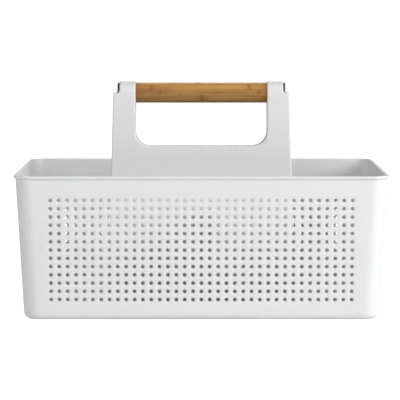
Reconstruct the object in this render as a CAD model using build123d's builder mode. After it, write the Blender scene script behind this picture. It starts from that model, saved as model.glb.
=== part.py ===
"""Perforated storage caddy: a tapered, round-holed plastic tub with a lip round its rim,
a low hollow rib across the front compartment, a hollow centre panel that stands on the floor and rises into two uprights, and a round
bamboo bar that turns in the sleeves at the top of the uprights and serves as the grip.

Millimetres. +X is the long side, +Y runs from the front wall to the rear wall, +Z is up.
The origin is the centre of the footprint, on the plane the foot ring stands on."""
import os
from math import cos, radians, tan

from build123d import *

# ---------------------------------------------------------------- driving dimensions
# tub
RIM_Z = 147.6            # height of the rim
RIM_HALF_X = 191.2       # half length over the lip
RIM_HALF_Y = 127.0       # half depth over the lip
LIP_OUT = 1.8            # lip overhang, measured from the wall plane at the rim
LIP_H = 3.4              # height of the lip
DRAFT = 3.0              # draft of all four walls, degrees
WALL = 2.2               # wall thickness
CORNER_R = 16.5          # outer radius of the four upright corners
BOTTOM_R = 7.0           # outer radius between walls and underside
FLOOR_UNDER_Z = 1.8      # underside of the floor, inside the foot ring
FLOOR_TOP_Z = 4.2        # upper face of the floor
FOOT_RING_W = 13.0       # width of the foot ring, measured from the tapered wall foot

# perforation
HOLE_R = 1.95            # radius of every wall hole
PITCH = 8.5              # spacing of the hole grid along the wall
ROW_TOP_Z = 123.1        # height of the top row
ROWS = 13
COLS_FRONT = 37
COLS_END = 21
DRAIN_R = 2.2
DRAIN_PITCH = 17.0

# hollow cross rib in the front compartment: closed on top and at both ends, open at the foot
RIB_X = 4.25             # middle of the rib, two hole pitches wide
RIB_TOP_Z = 104.9
RIB_FOOT_HALF = 10.29    # half width where it meets the floor
RIB_WALL = 1.8
RIB_DRAFT = 0.5
RIB_FRONT_Y = -106.2     # front end, clear of the front wall
RIB_END_Y = -12.8        # rear end, 0.3 short of the centre panel

# centre panel and uprights
FRAME_T = 25.0           # thickness of the panel
AXIS_Z = 227.0           # axis of the grip bar
SLEEVE_R = 12.5          # outer radius of the sleeves, half the panel thickness
SLEEVE_IN = 69.7         # inner ends of the sleeves
SLEEVE_OUT = 86.7        # outer ends of the sleeves
FRAME_TOP_HALF = 93.2    # half width of the frame at the bar axis
FRAME_FOOT_HALF = 100.4  # half width of the frame at the floor
GAP_Z = 170.6            # lower edge of the finger opening
GAP_R = 15.5             # radius of its lower corners
SHELL_WALL = 2.4
EDGE_R = 1.5             # rounding of the frame's outer edges
NOTCH_R = 3.0            # inner radius of the step beside each sleeve
LEDGE_R = 1.2            # outer radius of that step
SLEEVE_FLOOR_Z = 211.5   # the shells are solid above this, around the bore
PEGS = [(-86.0, 60.0), (86.0, 60.0), (-83.0, 158.0), (83.0, 158.0), (0.0, 60.0), (0.0, 152.0)]

# grip bar
BAR_R = 10.86
BAR_HALF = 89.0
BORE_R = 10.92           # 0.06 running clearance
BORE_HALF = 89.2         # blind end that keeps the bar in place

# fasteners
SCREW_X = 60.0
SCREW_Y = 5.2
SCREW_SEAT_Z = 5.0
SCREW_HEAD_R = 3.7
SCREW_HEAD_H = 2.3
SCREW_R = 1.75
PILOT_R = 1.5
SCREW_L = 18.0
PAD_Z = 8.0              # top of the locating pads

os.makedirs("parts", exist_ok=True)

slope = tan(radians(DRAFT))
upright_edges = lambda part: part.edges().filter_by(lambda e: abs((e % 0.5).Z) > 0.8)


def tapered_block(half_x, half_y, z_top, z_low, corner_r, low_r):
    """Solid with four drafted planar sides, wider at the top, rounded at the corners and foot."""
    height = z_top - z_low
    with BuildPart() as block:
        with BuildSketch(Plane.XY.offset(z_top)):
            Rectangle(2 * half_x, 2 * half_y)
        extrude(amount=-height)
        sides = block.faces().filter_by(lambda f: abs(f.normal_at().Z) < 0.1)
        draft(sides, Plane.XY.offset(z_top), -DRAFT)
        fillet(upright_edges(block), corner_r)
        if low_r:
            fillet(block.faces().sort_by(Axis.Z)[0].edges(), low_r)
    return block.part


# ---------------------------------------------------------------- tub
wall_x = RIM_HALF_X - LIP_OUT
wall_y = RIM_HALF_Y - LIP_OUT
outer = tapered_block(wall_x, wall_y, RIM_Z, 0.0, CORNER_R, BOTTOM_R)
rise = 6.0  # the cavity runs out above the rim
inset = WALL / cos(radians(DRAFT))
cavity = tapered_block(
    wall_x - inset + rise * slope,
    wall_y - inset + rise * slope,
    RIM_Z + rise,
    FLOOR_TOP_Z,
    CORNER_R - WALL,
    BOTTOM_R - WALL,
)
foot_x = wall_x - RIM_Z * slope
foot_y = wall_y - RIM_Z * slope

with BuildPart() as lip:
    with BuildSketch(Plane.XY.offset(RIM_Z)):
        RectangleRounded(2 * RIM_HALF_X, 2 * RIM_HALF_Y, CORNER_R + LIP_OUT)
    extrude(amount=-LIP_H)
    fillet(lip.faces().sort_by(Axis.Z)[0].edges(), 1.1)
    fillet(lip.faces().sort_by(Axis.Z)[-1].edges(), 0.5)

rib_low = (FLOOR_UNDER_Z + FLOOR_TOP_Z) / 2
rib_len = RIB_END_Y - RIB_FRONT_Y
rib_mid_y = (RIB_END_Y + RIB_FRONT_Y) / 2
with BuildPart() as rib:
    with BuildSketch(Plane.XY.offset(rib_low)):
        with Locations((RIB_X, rib_mid_y)):
            RectangleRounded(2 * RIB_FOOT_HALF, rib_len, 3.2)
    extrude(amount=RIB_TOP_Z - rib_low, taper=RIB_DRAFT)
    fillet(rib.faces().sort_by(Axis.Z)[-1].edges(), 1.2)
    with BuildSketch(Plane.XY.offset(rib_low)):
        with Locations((RIB_X, rib_mid_y)):
            RectangleRounded(
                2 * (RIB_FOOT_HALF - RIB_WALL), rib_len - 2 * RIB_WALL, 3.2 - RIB_WALL
            )
    extrude(amount=RIB_TOP_Z - RIB_WALL - rib_low, taper=RIB_DRAFT, mode=Mode.SUBTRACT)

with BuildPart() as tub:
    add(outer)
    add(lip.part)
    add(cavity, mode=Mode.SUBTRACT)
    # soften the inner edge of the rim
    fillet(
        tub.edges()
        .filter_by_position(Axis.Z, RIM_Z - 0.05, RIM_Z + 0.05)
        .filter_by(lambda e: abs(e.center().X) < wall_x - 1 and abs(e.center().Y) < wall_y - 1),
        0.5,
    )
    # recess under the floor leaves a foot ring
    with BuildSketch(Plane.XY):
        RectangleRounded(
            2 * (foot_x - FOOT_RING_W), 2 * (foot_y - FOOT_RING_W), CORNER_R - 6
        )
    extrude(amount=FLOOR_UNDER_Z, mode=Mode.SUBTRACT)
    # pads that locate the centre frame and take the screw heads from below
    with BuildSketch(Plane.XY.offset(FLOOR_TOP_Z)):
        with Locations((-SCREW_X, 0), (SCREW_X, 0)):
            RectangleRounded(34, FRAME_T - 2 * SHELL_WALL - 0.6, 2.0)
    extrude(amount=PAD_Z - FLOOR_TOP_Z)
    with BuildSketch(Plane.XY.offset(FLOOR_UNDER_Z)):
        with GridLocations(2 * SCREW_X, 2 * SCREW_Y, 2, 2):
            Circle(SCREW_HEAD_R + 0.45)
    extrude(amount=SCREW_SEAT_Z - FLOOR_UNDER_Z, mode=Mode.SUBTRACT)
    with BuildSketch(Plane.XY.offset(FLOOR_UNDER_Z)):
        with GridLocations(2 * SCREW_X, 2 * SCREW_Y, 2, 2):
            Circle(SCREW_R + 0.2)
    extrude(amount=PAD_Z - FLOOR_UNDER_Z + 1, mode=Mode.SUBTRACT)
    # drain holes in the two compartments
    drain_x = [i * DRAIN_PITCH for i in range(-9, 10)]
    drain_y = [34.0 + i * DRAIN_PITCH for i in range(4)]
    with BuildSketch(Plane.XY):
        with Locations([(x, y) for x in drain_x for y in drain_y]):
            Circle(DRAIN_R)
        with Locations([(x, -y) for x in drain_x if not -8 < x < 20 for y in drain_y]):
            Circle(DRAIN_R)
    extrude(amount=FLOOR_TOP_Z + 2, mode=Mode.SUBTRACT)
    # wall perforation, drilled straight through the opposite walls
    pitch_z = PITCH * cos(radians(DRAFT))
    mid_z = ROW_TOP_Z - (ROWS - 1) / 2 * pitch_z
    with BuildSketch(Plane.XZ):
        with Locations((0, mid_z)):
            with GridLocations(PITCH, pitch_z, COLS_FRONT, ROWS):
                Circle(HOLE_R)
    extrude(amount=RIM_HALF_Y + 5, both=True, mode=Mode.SUBTRACT)
    with BuildSketch(Plane.YZ):
        with Locations((0, mid_z)):
            with GridLocations(PITCH, pitch_z, COLS_END, ROWS):
                Circle(HOLE_R)
    extrude(amount=RIM_HALF_X + 5, both=True, mode=Mode.SUBTRACT)
    # the cross rib, and the mouth of its hollow in the underside
    add(rib.part)
    with BuildSketch(Plane.XY):
        with Locations((RIB_X, rib_mid_y)):
            RectangleRounded(
                2 * (RIB_FOOT_HALF - RIB_WALL), rib_len - 2 * RIB_WALL, 3.2 - RIB_WALL
            )
    extrude(amount=rib_low, mode=Mode.SUBTRACT)
tub.part.label = "tub"

# ---------------------------------------------------------------- centre frame, whole
lean = (FRAME_FOOT_HALF - FRAME_TOP_HALF) / (AXIS_Z - FLOOR_TOP_Z)
top_z = AXIS_Z + SLEEVE_R


with BuildSketch(Plane.XZ) as outline:
    with BuildLine():
        Polyline(
            (-FRAME_FOOT_HALF, FLOOR_TOP_Z),
            (-FRAME_TOP_HALF, AXIS_Z),
            (-SLEEVE_OUT, AXIS_Z),
            (-SLEEVE_OUT, top_z),
            (SLEEVE_OUT, top_z),
            (SLEEVE_OUT, AXIS_Z),
            (FRAME_TOP_HALF, AXIS_Z),
            (FRAME_FOOT_HALF, FLOOR_TOP_Z),
            close=True,
        )
    make_face()
    at_axis = outline.vertices().filter_by(lambda v: abs(v.Y - AXIS_Z) < 0.01)
    fillet(at_axis.filter_by(lambda v: abs(abs(v.X) - SLEEVE_OUT) < 0.01), NOTCH_R)
    at_axis = outline.vertices().filter_by(lambda v: abs(v.Y - AXIS_Z) < 0.01)
    fillet(at_axis.filter_by(lambda v: abs(abs(v.X) - FRAME_TOP_HALF) < 0.01), LEDGE_R)
    with Locations((0, GAP_Z)):
        Rectangle(
            2 * SLEEVE_IN, top_z - GAP_Z + 5,
            align=(Align.CENTER, Align.MIN), mode=Mode.SUBTRACT,
        )
    low = outline.vertices().filter_by(lambda v: abs(v.Y - GAP_Z) < 0.01)
    fillet(low, GAP_R)

# the same outline drawn in by the wall thickness, open at the foot and closed under the sleeves
with BuildSketch(Plane.XZ) as hollow:
    add(outline.sketch_local)
    offset(amount=-SHELL_WALL, kind=Kind.INTERSECTION, mode=Mode.REPLACE)
    with Locations((0, FLOOR_TOP_Z - 1)):
        Rectangle(
            2 * (FRAME_FOOT_HALF - SHELL_WALL - 1.0), 30,
            align=(Align.CENTER, Align.MIN),
        )
    with Locations((0, FLOOR_TOP_Z - 1)):
        Rectangle(
            400, SLEEVE_FLOOR_Z - FLOOR_TOP_Z + 1,
            align=(Align.CENTER, Align.MIN), mode=Mode.INTERSECT,
        )

with BuildPart() as frame:
    with BuildSketch(Plane.XZ.offset(FRAME_T / 2)):
        add(outline.sketch_local)
    extrude(amount=-FRAME_T)
    # the tops of the uprights are half round, on the axis of the bar
    with BuildSketch(Plane.YZ):
        with Locations((0, AXIS_Z)):
            Rectangle(FRAME_T + 4, SLEEVE_R + 2, align=(Align.CENTER, Align.MIN))
            Circle(SLEEVE_R, mode=Mode.SUBTRACT)
    extrude(amount=SLEEVE_OUT + 20, both=True, mode=Mode.SUBTRACT)
    # round the edges: each end arc of a sleeve carries on along its upright
    for end_x in (SLEEVE_IN, SLEEVE_OUT):
        arcs = frame.edges().filter_by(
            lambda e: abs(abs(e.center().X) - end_x) < 0.05 and e.center().Z > AXIS_Z + 4
        )
        fillet(arcs, EDGE_R)
    with BuildSketch(Plane.XZ.offset(FRAME_T / 2 - SHELL_WALL)):
        add(hollow.sketch_local)
    extrude(amount=2 * SHELL_WALL - FRAME_T, mode=Mode.SUBTRACT)
    with BuildSketch(Plane.YZ):
        with Locations((0, AXIS_Z)):
            Circle(BORE_R)
    extrude(amount=BORE_HALF, both=True, mode=Mode.SUBTRACT)

# ---------------------------------------------------------------- front half of the frame
inner_y = FRAME_T / 2 - SHELL_WALL
with BuildPart() as frame_front_shell:
    add(frame.part)
    split(bisect_by=Plane.XZ, keep=Keep.TOP)
    # posts that take the screws
    with BuildSketch(Plane.XY.offset(PAD_Z)):
        with Locations((-SCREW_X, -inner_y - 0.3), (SCREW_X, -inner_y - 0.3)):
            Rectangle(9.0, inner_y - 0.9, align=(Align.CENTER, Align.MIN))
    extrude(amount=24)
    with BuildSketch(Plane.XY.offset(PAD_Z)):
        with Locations((-SCREW_X, -SCREW_Y), (SCREW_X, -SCREW_Y)):
            Circle(PILOT_R)
    extrude(amount=SCREW_L, mode=Mode.SUBTRACT)
    # locating pegs that cross the seam
    with BuildSketch(Plane.XZ):
        with Locations(*PEGS):
            Circle(3.2)
    extrude(amount=inner_y + 0.3)
    with BuildSketch(Plane.XZ):
        with Locations(*PEGS):
            Circle(1.9)
    extrude(amount=-4.0)
frame_front_shell.part.label = "frame_front_shell"

# ---------------------------------------------------------------- rear half of the frame
with BuildPart() as frame_rear_shell:
    add(frame.part)
    split(bisect_by=Plane.XZ, keep=Keep.BOTTOM)
    with BuildSketch(Plane.XY.offset(PAD_Z)):
        with Locations((-SCREW_X, inner_y + 0.3), (SCREW_X, inner_y + 0.3)):
            Rectangle(9.0, inner_y - 0.9, align=(Align.CENTER, Align.MAX))
    extrude(amount=24)
    with BuildSketch(Plane.XY.offset(PAD_Z)):
        with Locations((-SCREW_X, SCREW_Y), (SCREW_X, SCREW_Y)):
            Circle(PILOT_R)
    extrude(amount=SCREW_L, mode=Mode.SUBTRACT)
    with BuildSketch(Plane.XZ):
        with Locations(*PEGS):
            Circle(3.6)
    extrude(amount=-inner_y - 0.3)
    with BuildSketch(Plane.XZ):
        with Locations(*PEGS):
            Circle(2.0)
    extrude(amount=-4.5, mode=Mode.SUBTRACT)
frame_rear_shell.part.label = "frame_rear_shell"

# ---------------------------------------------------------------- bamboo grip bar
with BuildPart() as bamboo_grip:
    with BuildSketch(Plane.YZ):
        with Locations((0, AXIS_Z)):
            Circle(BAR_R)
    extrude(amount=BAR_HALF, both=True)
    fillet(bamboo_grip.edges().filter_by(lambda e: abs(abs(e.center().X) - BAR_HALF) < 0.01), 0.7)
bamboo_grip.part.label = "bamboo_grip"

# ---------------------------------------------------------------- self-tapping screws, from below
with BuildPart() as frame_screws:
    spots = [(sx * SCREW_X, sy * SCREW_Y) for sx in (-1, 1) for sy in (-1, 1)]
    with BuildSketch(Plane.XY.offset(SCREW_SEAT_Z - SCREW_HEAD_H)):
        with Locations(*spots):
            Circle(SCREW_HEAD_R)
    extrude(amount=SCREW_HEAD_H)
    fillet(
        frame_screws.edges().filter_by(
            lambda e: abs(e.center().Z - (SCREW_SEAT_Z - SCREW_HEAD_H)) < 0.01
        ),
        1.2,
    )
    with BuildSketch(Plane.XY.offset(SCREW_SEAT_Z)):
        with Locations(*spots):
            Circle(SCREW_R)
    extrude(amount=SCREW_L)
    chamfer(
        frame_screws.edges().filter_by(
            lambda e: abs(e.center().Z - (SCREW_SEAT_Z + SCREW_L)) < 0.01
        ),
        1.2,
    )
    # cross recess in each head
    with BuildSketch(Plane.XY.offset(SCREW_SEAT_Z - SCREW_HEAD_H)):
        with Locations(*spots):
            Rectangle(4.2, 0.9)
            Rectangle(0.9, 4.2)
    extrude(amount=1.5, mode=Mode.SUBTRACT)
frame_screws.part.label = "frame_screws"

# ---------------------------------------------------------------- export
for piece in (tub, frame_front_shell, frame_rear_shell, bamboo_grip, frame_screws):
    export_step(piece.part, f"parts/{piece.part.label}.step")
    print(piece.part.label, len(piece.part.solids()), round(piece.part.volume), piece.part.bounding_box().size)
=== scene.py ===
"""Shower caddy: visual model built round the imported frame."""
import math

import bmesh
import bpy
import numpy as np
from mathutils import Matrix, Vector
from mathutils.geometry import delaunay_2d_cdt


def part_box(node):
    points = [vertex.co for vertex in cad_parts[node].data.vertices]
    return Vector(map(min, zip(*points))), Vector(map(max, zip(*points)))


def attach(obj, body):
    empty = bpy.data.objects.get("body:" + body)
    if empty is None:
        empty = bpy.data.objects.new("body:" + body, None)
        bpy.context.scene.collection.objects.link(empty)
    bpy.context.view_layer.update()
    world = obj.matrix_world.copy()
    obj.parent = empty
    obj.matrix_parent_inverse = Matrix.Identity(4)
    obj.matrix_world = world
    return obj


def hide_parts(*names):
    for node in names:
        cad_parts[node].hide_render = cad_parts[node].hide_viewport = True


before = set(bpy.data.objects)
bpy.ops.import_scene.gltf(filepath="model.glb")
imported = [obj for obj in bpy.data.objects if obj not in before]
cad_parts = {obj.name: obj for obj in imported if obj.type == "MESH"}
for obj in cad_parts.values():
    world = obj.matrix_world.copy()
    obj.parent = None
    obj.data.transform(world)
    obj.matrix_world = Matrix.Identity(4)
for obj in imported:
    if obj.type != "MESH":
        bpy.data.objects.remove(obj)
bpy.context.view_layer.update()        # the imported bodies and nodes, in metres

MM = 0.001

# ------------------------------------------------------------------ sizes, from the frame
tub_lo, tub_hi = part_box("tub")
bar_lo, bar_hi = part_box("bamboo_grip")
frame_lo, frame_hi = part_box("frame_front_shell")
AXIS_Z = (bar_lo.z + bar_hi.z) / 2 * 1000
BAR_R = (bar_hi.z - bar_lo.z) / 2 * 1000
BAR_HALF = bar_hi.x * 1000
RIM_Z = tub_hi.z * 1000
RIM_X = tub_hi.x * 1000
RIM_Y = tub_hi.y * 1000

LIP = 1.8
DRAFT = math.radians(3.0)
SLOPE = math.tan(DRAFT)
WALL = 2.2
INSET = WALL / math.cos(DRAFT)
CORNER = 16.5
BOTTOM = 7.0
WX, WY = RIM_X - LIP, RIM_Y - LIP
FLOOR_UNDER, FLOOR_TOP = 1.8, 4.2
HOLE_R = 1.95
PITCH = 8.5
PITCH_Z = PITCH * math.cos(DRAFT)
ROW_TOP = 123.1
ROWS, COLS_X, COLS_Y = 13, 37, 21
SUB = 4                       # subdivisions of a hole cell's side
EASE = 0.26                   # softened mouth of every hole
RIB_X, RIB_TOP, RIB_WALL, RIB_LOW = 4.25, 104.9, 1.8, 3.0
RIB_FOOT, RIB_FRONT, RIB_END = 10.29, -106.2, -12.8      # half width and ends, at RIB_LOW


# ------------------------------------------------------------------ tub mesh
def half_x(z):
    return WX - (RIM_Z - z) * SLOPE


def half_y(z):
    return WY - (RIM_Z - z) * SLOPE


ARC = 12
COLUMN_X = [(-COLS_X / 2 + i / SUB) * PITCH for i in range(COLS_X * SUB + 1)]
COLUMN_Y = [(-COLS_Y / 2 + i / SUB) * PITCH for i in range(COLS_Y * SUB + 1)]


def side_stations(columns, straight):
    """Positions along one straight wall: its two plain margins and the hole columns between."""
    a = columns[-1]
    return (
        [-straight, -(a + (straight - a) * 0.62), -(a + (straight - a) * 0.28)]
        + columns
        + [a + (straight - a) * 0.28, a + (straight - a) * 0.62, straight]
    )


def ring(z, e, radius=None):
    """Points round the tub at height z, e outside the outer wall face (negative is inside)."""
    hx, hy = half_x(z) + e, half_y(z) + e
    r = CORNER + e if radius is None else radius
    sx, sy = hx - r, hy - r
    pts = []
    walls = [
        (COLUMN_X, sx, lambda u: (u, -hy), (sx, -sy), -90),
        (COLUMN_Y, sy, lambda u: (hx, u), (sx, sy), 0),
        (COLUMN_X, sx, lambda u: (-u, hy), (-sx, sy), 90),
        (COLUMN_Y, sy, lambda u: (-hx, -u), (-sx, -sy), 180),
    ]
    for columns, straight, place, centre, start in walls:
        pts += [place(u) for u in side_stations(columns, straight)]
        for i in range(1, ARC):
            a = math.radians(start + 90 * i / ARC)
            pts.append((centre[0] + r * math.cos(a), centre[1] + r * math.sin(a)))
    return [(x, y, z) for x, y in pts]


NX, NY = len(COLUMN_X) + 6, len(COLUMN_Y) + 6
WALL_START = [0, NX + ARC - 1, NX + NY + 2 * (ARC - 1), 2 * NX + NY + 3 * (ARC - 1)]
RING_N = 2 * (NX + NY) + 4 * (ARC - 1)


def wall_point(w, u, z, depth):
    """A point on wall w, u along it and depth below its outer face."""
    hx, hy = half_x(z) - depth, half_y(z) - depth
    x, y = [(u, -hy), (hx, u), (-u, hy), (-hx, -u)][w]
    return (x, y, z)


class Mesh:
    def __init__(self):
        self.v, self.f, self.tag = [], [], []

    def add(self, pts):
        n = len(self.v)
        self.v += pts
        return list(range(n, n + len(pts)))

    def face(self, idx, tag=0):
        self.f.append(idx)
        self.tag.append(tag)

    def band(self, a, b, flip=False, tag=0, closed=True):
        n = len(a)
        for i in range(n if closed else n - 1):
            j = (i + 1) % n
            q = [a[i], a[j], b[j], b[i]]
            self.face(q[::-1] if flip else q, tag)

    def object(self, name, sharp=35, materials=(), scale=MM):
        me = bpy.data.meshes.new(name)
        used = sorted({i for f in self.f for i in f})
        remap = {old: new for new, old in enumerate(used)}
        me.from_pydata(
            [tuple(c * scale for c in self.v[i]) for i in used],
            [],
            [[remap[i] for i in f] for f in self.f],
        )
        for m in materials:
            me.materials.append(m)
        me.polygons.foreach_set("material_index", self.tag)
        bm = bmesh.new()
        bm.from_mesh(me)
        bmesh.ops.recalc_face_normals(bm, faces=bm.faces)
        bm.to_mesh(me)
        bm.free()
        me.shade_smooth()
        me.set_sharp_from_angle(angle=math.radians(sharp))
        me.validate()
        me.update()
        ob = bpy.data.objects.new(name, me)
        bpy.context.scene.collection.objects.link(ob)
        return ob


def patch(mesh, outer, holes, z, tag=0):
    """Fills the flat area between one closed loop of vertex indices and any loops inside it."""
    idx, edges = [], []
    for loop in [outer] + holes:
        base = len(idx)
        idx += loop
        edges += [(base + i, base + (i + 1) % len(loop)) for i in range(len(loop))]
    pts = [Vector(mesh.v[i][:2]) for i in idx]
    out = delaunay_2d_cdt(pts, edges, [], 1, 1e-6)
    verts, faces, orig = out[0], out[2], out[3]
    names = []
    for n, o in enumerate(orig):
        if o:
            names.append(idx[o[0]])
        else:
            names.append(mesh.add([(verts[n].x, verts[n].y, z)])[0])
    gaps = []
    for loop in holes:
        q = [mesh.v[i][:2] for i in loop]
        xs, ys = [c[0] for c in q], [c[1] for c in q]
        gaps.append((min(xs), max(xs), min(ys), max(ys), q))
    for f in faces:
        cx = sum(verts[i].x for i in f) / len(f)
        cy = sum(verts[i].y for i in f) / len(f)
        if not any(
            x0 < cx < x1 and y0 < cy < y1 and inside(q, cx, cy) for x0, x1, y0, y1, q in gaps
        ):
            mesh.face([names[i] for i in f], tag)


def inside(loop, x, y):
    """Whether the point lies within the closed loop of (x, y) corners."""
    odd = False
    for (ax, ay), (bx, by) in zip(loop, loop[1:] + loop[:1]):
        if (ay > y) != (by > y) and x < ax + (y - ay) * (bx - ax) / (by - ay):
            odd = not odd
    return odd


def circle(cx, cy, z, r, n=16):
    return [
        (cx + r * math.cos(2 * math.pi * i / n), cy + r * math.sin(2 * math.pi * i / n), z)
        for i in range(n)
    ]


def build_tub():
    m = Mesh()
    top_z = ROW_TOP + PITCH_Z / 2
    grid_z = [top_z - i * PITCH_Z / SUB for i in range(ROWS * SUB + 1)]
    low_z = grid_z[-1]

    # outer side, from the middle of the rim outwards and down
    rim = [
        (RIM_Z, -0.55),
        (RIM_Z, 0.35),
        (RIM_Z, LIP - 0.75),
        (RIM_Z - 0.08, LIP - 0.42),
        (RIM_Z - 0.26, LIP - 0.16),
        (RIM_Z - 0.55, LIP - 0.03),
        (RIM_Z - 0.95, LIP + (RIM_Z - RIM_Z + 0.95) * SLOPE),
        (RIM_Z - 1.7, LIP + 1.7 * SLOPE - 0.04),
        (RIM_Z - 2.3, LIP + 2.3 * SLOPE - 0.20),
        (RIM_Z - 2.75, LIP + 2.75 * SLOPE - 0.52),
        (RIM_Z - 3.1, LIP + 3.1 * SLOPE - 0.98),
        (RIM_Z - 3.32, LIP + 3.32 * SLOPE - 1.5),
        (RIM_Z - 3.42, 0.42),
        (RIM_Z - 3.52, 0.14),
        (RIM_Z - 3.85, 0.0),
    ]
    outer = [ring(z, e) for z, e in rim]
    for z in (RIM_Z - 6.0, RIM_Z - 10.5, RIM_Z - 15.5):
        outer.append(ring(z, 0.0))
    first_grid_outer = len(outer)
    outer += [ring(z, 0.0) for z in grid_z]
    ball = half_x(BOTTOM) - BOTTOM / math.cos(DRAFT)
    for z in (low_z - 3.0, low_z - 6.5):
        outer.append(ring(z, 0.0))
    steps = 10
    for i in range(steps + 1):
        a = math.radians(-3.0 - 87.0 * i / steps)
        z = BOTTOM + BOTTOM * math.sin(a)
        outer.append(ring(z, ball + BOTTOM * math.cos(a) - half_x(z)))
    foot_e = (WX - RIM_Z * SLOPE - 13.0) - half_x(0.0)
    outer.append(ring(0.0, foot_e + 0.35, CORNER - 6 + 0.35))
    outer.append(ring(0.10, foot_e + 0.10 - 0.10 * SLOPE, CORNER - 6 + 0.1))
    outer.append(ring(0.35, foot_e - 0.35 * SLOPE, CORNER - 6))
    outer.append(ring(FLOOR_UNDER, foot_e - FLOOR_UNDER * SLOPE, CORNER - 6))
    o = [m.add(r) for r in outer]

    # inner side, from the rim down
    inner_profile = [
        (RIM_Z - 0.07, -INSET + 0.62),
        (RIM_Z - 0.24, -INSET + 0.30),
        (RIM_Z - 0.50, -INSET + 0.08),
        (RIM_Z - 0.85, -INSET),
        (RIM_Z - 3.5, -INSET),
        (RIM_Z - 6.0, -INSET),
        (RIM_Z - 10.5, -INSET),
        (RIM_Z - 15.5, -INSET),
    ]
    inner = [ring(RIM_Z, -INSET + 1.05)] + [ring(z, e) for z, e in inner_profile]
    first_grid_inner = len(inner)
    inner += [ring(z, -INSET) for z in grid_z]
    r_in = BOTTOM - WALL
    zc = FLOOR_TOP + r_in
    ball = half_x(zc) - INSET - r_in / math.cos(DRAFT)
    for z in (low_z - 3.0, low_z - 5.5):
        inner.append(ring(z, -INSET))
    for i in range(steps + 1):
        a = math.radians(-3.0 - 87.0 * i / steps)
        z = zc + r_in * math.sin(a)
        inner.append(ring(z, ball + r_in * math.cos(a) - half_x(z)))
    n = [m.add(r) for r in inner]

    # which quads of the two grids belong to a hole cell
    cell_of = set()
    for w, (columns, count) in enumerate([(COLUMN_X, COLS_X), (COLUMN_Y, COLS_Y)] * 2):
        start = WALL_START[w] + 3
        for c in range(count * SUB):
            cell_of.add(start + c)
    grid_rows = ROWS * SUB
    for rings, first, flip in ((o, first_grid_outer, False), (n, first_grid_inner, True)):
        for r in range(len(rings) - 1):
            in_grid = first <= r < first + grid_rows
            a, b = rings[r], rings[r + 1]
            for i in range(RING_N):
                if in_grid and i in cell_of:
                    continue
                j = (i + 1) % RING_N
                q = [a[i], a[j], b[j], b[i]]
                m.face(q[::-1] if not flip else q)
    m.band(o[0], n[0])

    # hole cells, wall by wall
    angles = [math.radians(135 - 22.5 * i) for i in range(16)]
    for w, (columns, count) in enumerate([(COLUMN_X, COLS_X), (COLUMN_Y, COLS_Y)] * 2):
        start = WALL_START[w] + 3
        for row in range(ROWS):
            zc = ROW_TOP - row * PITCH_Z
            for col in range(count):
                uc = (col - (count - 1) / 2) * PITCH
                c0 = start + col * SUB
                loops = []
                for rings, first in ((o, first_grid_outer), (n, first_grid_inner)):
                    r0 = first + row * SUB
                    loop = [rings[r0][c0 + i] for i in range(SUB)]
                    loop += [rings[r0 + i][c0 + SUB] for i in range(SUB)]
                    loop += [rings[r0 + SUB][c0 + SUB - i] for i in range(SUB)]
                    loop += [rings[r0 + SUB - i][c0] for i in range(SUB)]
                    loops.append(loop)
                mouths = []
                for depth, r in (
                    (0.0, HOLE_R + EASE),
                    (EASE * 0.30, HOLE_R + EASE * 0.30),
                    (EASE, HOLE_R),
                    (INSET - EASE, HOLE_R),
                    (INSET - EASE * 0.30, HOLE_R + EASE * 0.30),
                    (INSET, HOLE_R + EASE),
                ):
                    mouths.append(
                        m.add(
                            [
                                wall_point(w, uc + r * math.cos(a), zc + r * math.sin(a), depth)
                                for a in angles
                            ]
                        )
                    )
                chain = [loops[0]] + mouths + [loops[1]]
                for a, b in zip(chain, chain[1:]):
                    m.band(a, b)

    # floor: upper face and underside, with the drain holes and screw recesses between them
    drains = [
        ((i - 9) * 17.0, sy * 59.5 + (k - 1.5) * 17.0)
        for sy in (-1, 1) for k in range(4) for i in range(19)
        if sy > 0 or not -8 < (i - 9) * 17.0 < 20
    ]
    top_holes, low_holes = [], []
    for cx, cy in drains:
        rings = [
            m.add(circle(cx, cy, z, r))
            for z, r in (
                (FLOOR_TOP, 2.2 + 0.25), (FLOOR_TOP - 0.08, 2.2 + 0.08), (FLOOR_TOP - 0.25, 2.2),
                (FLOOR_UNDER + 0.25, 2.2), (FLOOR_UNDER + 0.08, 2.28), (FLOOR_UNDER, 2.45),
            )
        ]
        for a, b in zip(rings, rings[1:]):
            m.band(a, b)
        top_holes.append(rings[0])
        low_holes.append(rings[-1])
    # screw recesses from below, and the pads that locate the centre frame
    pad_top, seat = 8.0, 5.0
    through = {}
    for cx in (-60.0, 60.0):
        for cy in (-5.2, 5.2):
            rings = [
                m.add(circle(cx, cy, z, r, 32))
                for z, r in (
                    (FLOOR_UNDER, 4.35), (FLOOR_UNDER + 0.2, 4.15), (seat, 4.15),
                    (seat, 1.95), (pad_top, 1.95),
                )
            ]
            for a, b in zip(rings, rings[1:]):
                m.band(a, b)
            low_holes.append(rings[0])
            through.setdefault(cx, []).append(rings[-1])
    for cx in (-60.0, 60.0):
        loops = []
        for z, g in ((FLOOR_TOP, 0.0), (pad_top - 0.4, 0.0), (pad_top, -0.4)):
            pts = []
            for (sx, sy, start) in ((1, -1, -90), (1, 1, 0), (-1, 1, 90), (-1, -1, 180)):
                for i in range(7):
                    a = math.radians(start + 15 * i)
                    pts.append(
                        (
                            cx + sx * (17 - 2.0) + (2.0 + g) * math.cos(a),
                            sy * (9.8 - 2.0) + (2.0 + g) * math.sin(a),
                            z,
                        )
                    )
            loops.append(m.add(pts))
        for a, b in zip(loops, loops[1:]):
            m.band(a, b)
        top_holes.append(loops[0])
        patch(m, loops[-1], through[cx], pad_top)
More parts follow.
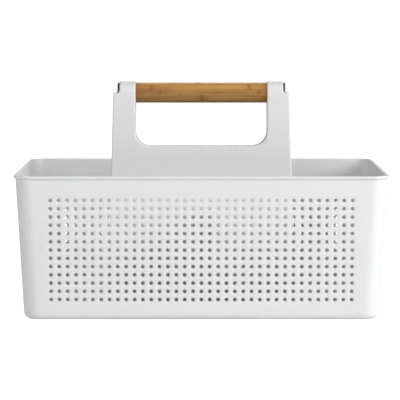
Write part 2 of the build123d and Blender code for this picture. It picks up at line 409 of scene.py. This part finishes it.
    # mouth of the hollow rib
    half, y0, y1 = RIB_FOOT - 0.9, RIB_FRONT + 0.9, RIB_END - 0.9
    slot = [
        m.add([(RIB_X + x, y, z) for x, y in ((-half, ya), (half, ya), (half, y1), (-half, y1))])
        for z, ya in ((FLOOR_TOP, y0), (FLOOR_UNDER, -(WY - RIM_Z * SLOPE - 13.0) + 0.06))
    ]
    m.band(slot[0], slot[1])
    top_holes.append(slot[0])
    low_holes.append(slot[1])
    patch(m, n[-1], top_holes, FLOOR_TOP)
    patch(m, o[-1], low_holes, FLOOR_UNDER)
    build_rib(m)
    return m


def build_rib(m):
    """Hollow cross rib: a narrow drafted box, closed on top and at both ends, open at the foot."""
    low = FLOOR_UNDER - 0.04
    k = math.tan(math.radians(0.5))
    mid_y = (RIB_FRONT + RIB_END) / 2

    def loop(z, grow, radius):
        rise = (z - RIB_LOW) * k
        hx = RIB_FOOT - rise + grow
        hy = (RIB_END - RIB_FRONT) / 2 - rise + grow
        r = max(radius + grow, 0.3)
        pts = []
        for sx, sy, start in ((1, -1, -90), (1, 1, 0), (-1, 1, 90), (-1, -1, 180)):
            for i in range(7):
                a = math.radians(start + 15 * i)
                pts.append(
                    (
                        RIB_X + sx * (hx - r) + r * math.cos(a),
                        mid_y + sy * (hy - r) + r * math.sin(a),
                        z,
                    )
                )
        return m.add(pts)

    def shell(top, grow, radius, edge):
        out = [loop(low + (top - edge - low) * f, grow, radius) for f in (0, 0.25, 0.5, 0.75, 0.96)]
        for i in range(7):
            a = math.radians(15 * i)
            out.append(loop(top - edge + edge * math.sin(a), grow - edge + edge * math.cos(a), radius))
        for p, q in zip(out, out[1:]):
            m.band(p, q)
        inner = m.add(
            [
                (RIB_X + (m.v[i][0] - RIB_X) * 0.72, mid_y + (m.v[i][1] - mid_y) * 0.95, m.v[i][2])
                for i in out[-1]
            ]
        )
        m.band(out[-1], inner)
        m.face(inner)
        return out[0]

    o = shell(RIB_TOP, 0.0, 2.2, 1.2)
    n = shell(RIB_TOP - RIB_WALL, -RIB_WALL, 2.2, 0.4)
    m.band(o, n)


# ------------------------------------------------------------------ bamboo bar mesh
def build_bar():
    m = Mesh()
    around = 96
    edge = 1.1
    xs = []
    for i in range(7):
        a = math.radians(90 - 15 * i)
        xs.append((-BAR_HALF + edge - edge * math.cos(math.radians(90) - a), BAR_R - edge + edge * math.sin(math.radians(90) - a)))
    body = []
    count = 150
    for i in range(1, count):
        x = -BAR_HALF + edge + (2 * BAR_HALF - 2 * edge) * i / count
        body.append((x, BAR_R))
    profile = xs + body + [(-x, r) for x, r in reversed(xs)]
    rng = np.random.default_rng(11)
    phase = rng.uniform(0, 6.28, 6)
    rings = []
    for x, r in profile:
        pts = []
        for k in range(around):
            a = 2 * math.pi * k / around
            # hand-sanded round bar: it departs from a true cylinder by a few hundredths
            dip = 0.018 * math.sin(3 * a + x * 0.021 + phase[0]) + 0.014 * math.sin(
                5 * a - x * 0.034 + phase[1]
            )
            rr = r - 0.034 + dip
            pts.append((x, rr * math.cos(a), AXIS_Z + rr * math.sin(a)))
        rings.append(m.add(pts))
    for a, b in zip(rings, rings[1:]):
        m.band(a, b)
    for r, x in ((rings[0], -BAR_HALF), (rings[-1], BAR_HALF)):
        inner = m.add([(x, 0.45 * (m.v[i][1]), AXIS_Z + 0.45 * (m.v[i][2] - AXIS_Z)) for i in r])
        m.band(r, inner)
        m.face(inner)
    return m


# ------------------------------------------------------------------ materials
def new_material(name):
    mat = bpy.data.materials.new(name)
    mat.use_nodes = True
    nt = mat.node_tree
    nt.nodes.clear()
    out = nt.nodes.new("ShaderNodeOutputMaterial")
    bsdf = nt.nodes.new("ShaderNodeBsdfPrincipled")
    nt.links.new(bsdf.outputs["BSDF"], out.inputs["Surface"])
    return mat, nt, bsdf


class Nodes:
    """Small helpers for building node networks."""

    def __init__(self, nt):
        self.nt = nt

    def put(self, socket, value):
        if isinstance(value, bpy.types.NodeSocket):
            self.nt.links.new(value, socket)
        else:
            socket.default_value = value

    def math(self, op, a, b=0.0, c=0.0, clamp=False):
        n = self.nt.nodes.new("ShaderNodeMath")
        n.operation = op
        n.use_clamp = clamp
        for s, v in zip(n.inputs, (a, b, c)):
            self.put(s, v)
        return n.outputs[0]

    def vec(self, op, a, b=(0, 0, 0)):
        n = self.nt.nodes.new("ShaderNodeVectorMath")
        n.operation = op
        self.put(n.inputs[0], a)
        self.put(n.inputs[1], b)
        return n.outputs[0]

    def coords(self):
        return self.nt.nodes.new("ShaderNodeTexCoord").outputs["Object"]

    def noise(self, vector, scale, detail=3.0, rough=0.5, distortion=0.0):
        n = self.nt.nodes.new("ShaderNodeTexNoise")
        self.put(n.inputs["Vector"], vector)
        n.inputs["Scale"].default_value = scale
        n.inputs["Detail"].default_value = detail
        n.inputs["Roughness"].default_value = rough
        n.inputs["Distortion"].default_value = distortion
        return n.outputs["Fac"]

    def white(self, vector):
        n = self.nt.nodes.new("ShaderNodeTexWhiteNoise")
        n.noise_dimensions = "3D"
        self.put(n.inputs["Vector"], vector)
        return n.outputs["Value"]

    def split(self, vector):
        n = self.nt.nodes.new("ShaderNodeSeparateXYZ")
        self.put(n.inputs[0], vector)
        return n.outputs

    def join(self, x, y, z):
        n = self.nt.nodes.new("ShaderNodeCombineXYZ")
        for s, v in zip(n.inputs, (x, y, z)):
            self.put(s, v)
        return n.outputs[0]

    def span(self, value, a, b, c, d, smooth=False):
        n = self.nt.nodes.new("ShaderNodeMapRange")
        if smooth:
            n.interpolation_type = "SMOOTHSTEP"
        self.put(n.inputs["Value"], value)
        for key, v in zip(("From Min", "From Max", "To Min", "To Max"), (a, b, c, d)):
            n.inputs[key].default_value = v
        return n.outputs["Result"]

    def mix(self, fac, a, b, blend="MIX"):
        n = self.nt.nodes.new("ShaderNodeMix")
        n.data_type = "RGBA"
        n.blend_type = blend
        self.put(n.inputs[0], fac)
        self.put(n.inputs[6], a)
        self.put(n.inputs[7], b)
        return n.outputs[2]

    def ramp(self, fac, stops):
        n = self.nt.nodes.new("ShaderNodeValToRGB")
        el = n.color_ramp.elements
        while len(el) < len(stops):
            el.new(0.5)
        for e, (pos, col) in zip(el, stops):
            e.position = pos
            e.color = (*col, 1.0)
        self.put(n.inputs["Fac"], fac)
        return n.outputs["Color"]

    def bump(self, height, strength, distance, normal=None):
        n = self.nt.nodes.new("ShaderNodeBump")
        n.inputs["Strength"].default_value = strength
        n.inputs["Distance"].default_value = distance
        self.put(n.inputs["Height"], height)
        if normal is not None:
            self.put(n.inputs["Normal"], normal)
        return n.outputs["Normal"]


def plastic(name, seed, tone):
    """Satin moulded polypropylene: fine spark-eroded grain, faint cloudiness and handling marks."""
    mat, nt, bsdf = new_material(name)
    g = Nodes(nt)
    at = g.vec("ADD", g.coords(), (seed, seed * 0.7, -seed * 1.3))
    cloud = g.noise(at, 22.0, 2.0, 0.55)
    fine = g.noise(at, 2600.0, 2.0, 0.6)
    grain = g.noise(at, 1100.0, 3.0, 0.55)
    flow = g.noise(g.vec("MULTIPLY", at, (9.0, 9.0, 42.0)), 1.0, 2.0, 0.5)
    scuff = g.noise(g.vec("MULTIPLY", at, (260.0, 260.0, 60.0)), 1.0, 4.0, 0.62, 0.6)
    lo_c = tuple(c * 0.985 for c in tone)
    hi_c = tone
    shade = g.span(g.math("ADD", g.math("MULTIPLY", cloud, 0.6), g.math("MULTIPLY", flow, 0.4)), 0.35, 0.65, 0.0, 1.0)
    colour = g.mix(shade, (*lo_c, 1.0), (*hi_c, 1.0))
    speck = g.span(fine, 0.30, 0.42, 0.975, 1.0)
    colour = g.mix(1.0, colour, g.join(speck, speck, speck), "MULTIPLY")
    g.put(bsdf.inputs["Base Color"], colour)
    rough = g.math("ADD", g.span(grain, 0.3, 0.7, 0.36, 0.46), g.span(scuff, 0.45, 0.75, 0.0, 0.07))
    g.put(bsdf.inputs["Roughness"], rough)
    height = g.math("ADD", g.math("MULTIPLY", fine, 0.5), g.math("MULTIPLY", grain, 0.8))
    g.put(bsdf.inputs["Normal"], g.bump(height, 0.10, 0.00006))
    bsdf.inputs["IOR"].default_value = 1.49
    return mat


def bamboo(name):
    """Laminated caramelised bamboo turned to a bar: strips, long fibres, node marks, thin lacquer."""
    mat, nt, bsdf = new_material(name)
    g = Nodes(nt)
    p = g.vec("SUBTRACT", g.coords(), (0.0, 0.0, AXIS_Z * MM))
    # laminations lie a little askew in the turned bar
    rot = nt.nodes.new("ShaderNodeVectorRotate")
    rot.rotation_type = "X_AXIS"
    rot.inputs["Angle"].default_value = math.radians(7.0)
    g.put(rot.inputs["Vector"], p)
    x, y, z = g.split(rot.outputs[0])[:3]
    layer = g.math("FLOOR", g.math("DIVIDE", g.math("ADD", z, 0.0316), 0.0056))
    across = g.math("FLOOR", g.math("DIVIDE", g.math("ADD", y, g.math("MULTIPLY", layer, 0.0047)), 0.0130))
    cell = g.join(across, layer, 3.0)
    tone = g.white(cell)
    tone_b = g.white(g.join(across, layer, 9.0))
    # long fibres
    wander = g.math("MULTIPLY", g.noise(g.vec("MULTIPLY", p, (14.0, 40.0, 40.0)), 1.0, 2.0), 0.0016)
    yy = g.math("ADD", y, wander)
    zz = g.math("ADD", z, wander)
    long_f = g.noise(g.join(g.math("MULTIPLY", x, 13.0), g.math("MULTIPLY", yy, 620.0), g.math("MULTIPLY", zz, 620.0)), 1.0, 4.0, 0.6)
    fine_f = g.noise(g.join(g.math("MULTIPLY", x, 70.0), g.math("MULTIPLY", yy, 2300.0), g.math("MULTIPLY", zz, 2300.0)), 1.0, 3.0, 0.6)
    broad = g.noise(g.join(g.math("MULTIPLY", x, 16.0), g.math("MULTIPLY", y, 90.0), g.math("ADD", g.math("MULTIPLY", z, 90.0), g.math("MULTIPLY", layer, 3.7))), 1.0, 2.0, 0.5)
    # node marks: each strip has its own positions
    step = 0.104
    shift = g.math("MULTIPLY", tone_b, step)
    warp = g.math("MULTIPLY", g.math("SUBTRACT", g.noise(g.vec("MULTIPLY", p, (60.0, 300.0, 300.0)), 1.0, 3.0), 0.5), 0.0075)
    u = g.math("PINGPONG", g.math("ADD", g.math("ADD", x, shift), warp), step / 2)
    node = g.span(u, 0.0, 0.0030, 1.0, 0.0, True)
    halo = g.span(u, 0.0022, 0.0105, 1.0, 0.0, True)
    value = g.math("ADD", g.math("MULTIPLY", long_f, 0.50), g.math("MULTIPLY", fine_f, 0.18))
    value = g.math("ADD", value, g.math("MULTIPLY", broad, 0.42))
    value = g.math("ADD", value, g.math("MULTIPLY", g.math("SUBTRACT", tone, 0.5), 0.20))
    colour = g.ramp(
        g.span(value, 0.30, 0.80, 0.0, 1.0),
        [
            (0.0, BAMBOO[0]),
            (0.30, BAMBOO[1]),
            (0.55, BAMBOO[2]),
            (0.80, BAMBOO[3]),
            (1.0, BAMBOO[4]),
        ],
    )
    colour = g.mix(g.math("MULTIPLY", halo, 0.52), colour, (*BAMBOO[5], 1.0))
    colour = g.mix(g.math("MULTIPLY", node, 0.74), colour, (*BAMBOO[6], 1.0))
    # dark vascular dashes
    dash = g.span(fine_f, 0.60, 0.72, 0.0, 0.34)
    colour = g.mix(dash, colour, (*BAMBOO[0], 1.0))
    # glue lines between strips
    fz = g.math("ABSOLUTE", g.math("SUBTRACT", g.math("FRACT", g.math("DIVIDE", g.math("ADD", z, 0.0316), 0.0056)), 0.5))
    line = g.span(fz, 0.472, 0.499, 0.0, 0.42)
    colour = g.mix(line, colour, (*BAMBOO[0], 1.0))
    # painted shade: the bar darkens towards the sleeves, standing in for the shade the sleeves cast where the bar
    # enters them
    sleeve_shade = g.span(g.math("ABSOLUTE", x), 0.0600, 0.0715, 0.0, 0.42, True)
    colour = g.mix(sleeve_shade, colour, (0.20, 0.085, 0.022, 1.0))
    # painted shade: the bar's colour darkens towards its bottom, standing in for the shade on its underside
    low = g.span(g.math("ADD", z, g.math("MULTIPLY", g.math("SUBTRACT", broad, 0.5), 0.006)), -0.0020, 0.0065, 0.46, 0.04, True)
    colour = g.mix(low, colour, (0.150, 0.056, 0.010, 1.0))
    # end faces, darkened near black with pores: partly darker end grain, partly painted shade for the shadowed gap at
    # the bar's ends
    tips = g.span(g.math("ABSOLUTE", x), 0.0790, 0.0805, 0.0, 1.0, True)
    pores = g.span(g.noise(g.join(0.0, g.math("MULTIPLY", y, 1500.0), g.math("MULTIPLY", z, 1500.0)), 1.0, 2.0, 0.5), 0.35, 0.65, 0.78, 0.95)
    colour = g.mix(g.math("MULTIPLY", tips, pores), colour, (0.052, 0.038, 0.027, 1.0))
    g.put(bsdf.inputs["Base Color"], colour)
    g.put(bsdf.inputs["Roughness"], g.math("ADD", g.span(long_f, 0.3, 0.7, 0.46, 0.36), g.span(node, 0.0, 1.0, 0.0, 0.08)))
    height = g.math("SUBTRACT", g.math("ADD", long_f, g.math("MULTIPLY", fine_f, 0.7)), g.math("MULTIPLY", line, 1.2))
    height = g.math("ADD", height, g.math("MULTIPLY", node, 0.9))
    g.put(bsdf.inputs["Normal"], g.bump(height, 0.22, 0.00016))
    bsdf.inputs["IOR"].default_value = 1.5
    bsdf.inputs["Coat Weight"].default_value = 0.05
    bsdf.inputs["Specular IOR Level"].default_value = 0.34
    bsdf.inputs["Coat Roughness"].default_value = 0.32
    return mat


def zinc(name):
    """Zinc-plated screw steel: rolled streaks, dull blotches."""
    mat, nt, bsdf = new_material(name)
    g = Nodes(nt)
    p = g.coords()
    blotch = g.noise(p, 900.0, 3.0, 0.6)
    streak = g.noise(g.vec("MULTIPLY", p, (5200.0, 5200.0, 500.0)), 1.0, 2.0, 0.5)
    colour = g.mix(g.span(blotch, 0.35, 0.65, 0.0, 1.0), (0.50, 0.50, 0.51, 1.0), (0.66, 0.66, 0.67, 1.0))
    g.put(bsdf.inputs["Base Color"], colour)
    g.put(bsdf.inputs["Roughness"], g.span(streak, 0.3, 0.7, 0.26, 0.44))
    g.put(bsdf.inputs["Normal"], g.bump(streak, 0.25, 0.00004))
    bsdf.inputs["Metallic"].default_value = 1.0
    return mat


BAMBOO = [
    (0.235, 0.098, 0.022),
    (0.395, 0.195, 0.050),
    (0.520, 0.285, 0.082),
    (0.640, 0.385, 0.130),
    (0.760, 0.510, 0.215),
    (0.450, 0.190, 0.050),
    (0.270, 0.095, 0.026),
]
WHITE = (0.74, 0.74, 0.742)

tub_skin = plastic("white_pp_tub", 0.31, WHITE)
shell_skin = plastic("white_pp_frame", 0.77, WHITE)
bar_skin = bamboo("lacquered_bamboo")
screw_skin = zinc("zinc_steel")

# ------------------------------------------------------------------ pieces
tub = build_tub().object("tub_shell", sharp=32, materials=[tub_skin])
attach(tub, "basket")
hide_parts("tub")

bar = build_bar().object("bamboo_bar", sharp=50, materials=[bar_skin])
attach(bar, "grip")
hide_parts("bamboo_grip")

for node, skin in (
    ("frame_front_shell", shell_skin),
    ("frame_rear_shell", shell_skin),
    ("frame_screws", screw_skin),
):
    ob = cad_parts[node]
    ob.data.materials.clear()
    ob.data.materials.append(skin)

# ------------------------------------------------------------------ stage
def stage_piece(name, verts, faces, glow, base, camera):
    """Part of the studio. The seen surfaces only show white; an unseen floor gives the bounce light."""
    me = bpy.data.meshes.new(name)
    me.from_pydata(verts, [], faces)
    mat, nt, bsdf = new_material(name + "_mat")
    g = Nodes(nt)
    cloud = g.noise(g.coords(), 6.0, 2.0)
    g.put(
        bsdf.inputs["Base Color"],
        g.mix(cloud, (base * 0.985, base * 0.985, base * 0.985, 1), (base, base, base, 1)),
    )
    bsdf.inputs["Roughness"].default_value = 0.9
    bsdf.inputs["Specular IOR Level"].default_value = 0.0
    bsdf.inputs["Emission Color"].default_value = (1, 1, 1, 1)
    bsdf.inputs["Emission Strength"].default_value = glow
    me.materials.append(mat)
    ob = bpy.data.objects.new(name, me)
    bpy.context.scene.collection.objects.link(ob)
    ob.visible_camera = camera
    if camera:
        ob.visible_diffuse = False
        ob.visible_glossy = False
        ob.visible_shadow = False
        ob.visible_transmission = False
        ob.visible_volume_scatter = False
    return ob


FLOOR_GLOW = 0.0
reach = 12.0
square = [(-reach, -reach, 0), (reach, -reach, 0), (reach, reach, 0), (-reach, reach, 0)]
floor = stage_piece("studio_floor", [(x, y, -0.0004) for x, y, z in square], [(0, 1, 2, 3)], 1.06, 0.28, True)
bounce = stage_piece("studio_bounce", [(x, y, -0.0008) for x, y, z in square], [(0, 1, 2, 3)], FLOOR_GLOW, 0.9, False)
dome_v, dome_f = [], []
for i in range(13):
    e = math.radians(-4 + 94 * i / 12)
    for k in range(48):
        a = 2 * math.pi * k / 48
        dome_v.append((11.5 * math.cos(e) * math.cos(a), 11.5 * math.cos(e) * math.sin(a), 11.5 * math.sin(e)))
for i in range(12):
    for k in range(48):
        j = (k + 1) % 48
        dome_f.append((i * 48 + k, i * 48 + j, (i + 1) * 48 + j, (i + 1) * 48 + k))
dome = stage_piece("studio_dome", dome_v, dome_f, 1.08, 0.1, True)

# ------------------------------------------------------------------ light
WORLD_STRENGTH = 0.08
world = bpy.data.worlds.new("studio")
bpy.context.scene.world = world
world.use_nodes = True
background = world.node_tree.nodes["Background"]
background.inputs["Color"].default_value = (1, 1, 1, 1)
background.inputs["Strength"].default_value = WORLD_STRENGTH

AIM = Vector((0.0, 0.0, 0.10))
LIGHTS = [
    # name, azimuth from +X towards the front, elevation, distance, size, power
    ("key_right_front", 37, 22, 3.0, 1.5, 65.5),
    ("right", 0, 20, 3.0, 1.5, 23.3),
    ("front_left", 112, 28, 3.0, 1.5, 27.3),
    ("left", 180, 22, 3.0, 1.5, 15.8),
    ("rear", -90, 35, 3.0, 1.5, 24.0),
    ("front_low", 90, 8, 3.4, 1.8, 2.5),
]
for name, az, el, dist, size, power in LIGHTS:
    data = bpy.data.lights.new(name, "AREA")
    data.shape = "SQUARE"
    data.size = size
    data.energy = power
    ob = bpy.data.objects.new(name, data)
    a, e = math.radians(az), math.radians(el)
    ob.location = AIM + dist * Vector(
        (math.cos(e) * math.cos(a), -math.cos(e) * math.sin(a), math.sin(e))
    )
    ob.rotation_euler = (AIM - ob.location).to_track_quat("-Z", "Y").to_euler()
    ob.visible_camera = False
    bpy.context.scene.collection.objects.link(ob)

view = bpy.context.scene.view_settings
view.view_transform = "Standard"
view.look = "None"
view.exposure = 0.0
view.gamma = 1.0

# ------------------------------------------------------------------ camera
cam_data = bpy.data.cameras.new("camera")
cam_data.sensor_width = 36.0
cam_data.lens = 194.3
cam_data.clip_end = 100.0
cam = bpy.data.objects.new("camera", cam_data)
cam.location = (0.0, -2.298, 0.3245)
cam.rotation_euler = (math.radians(90.0 - 5.28), 0.0, math.radians(0.0356))
bpy.context.scene.collection.objects.link(cam)
bpy.context.scene.camera = cam
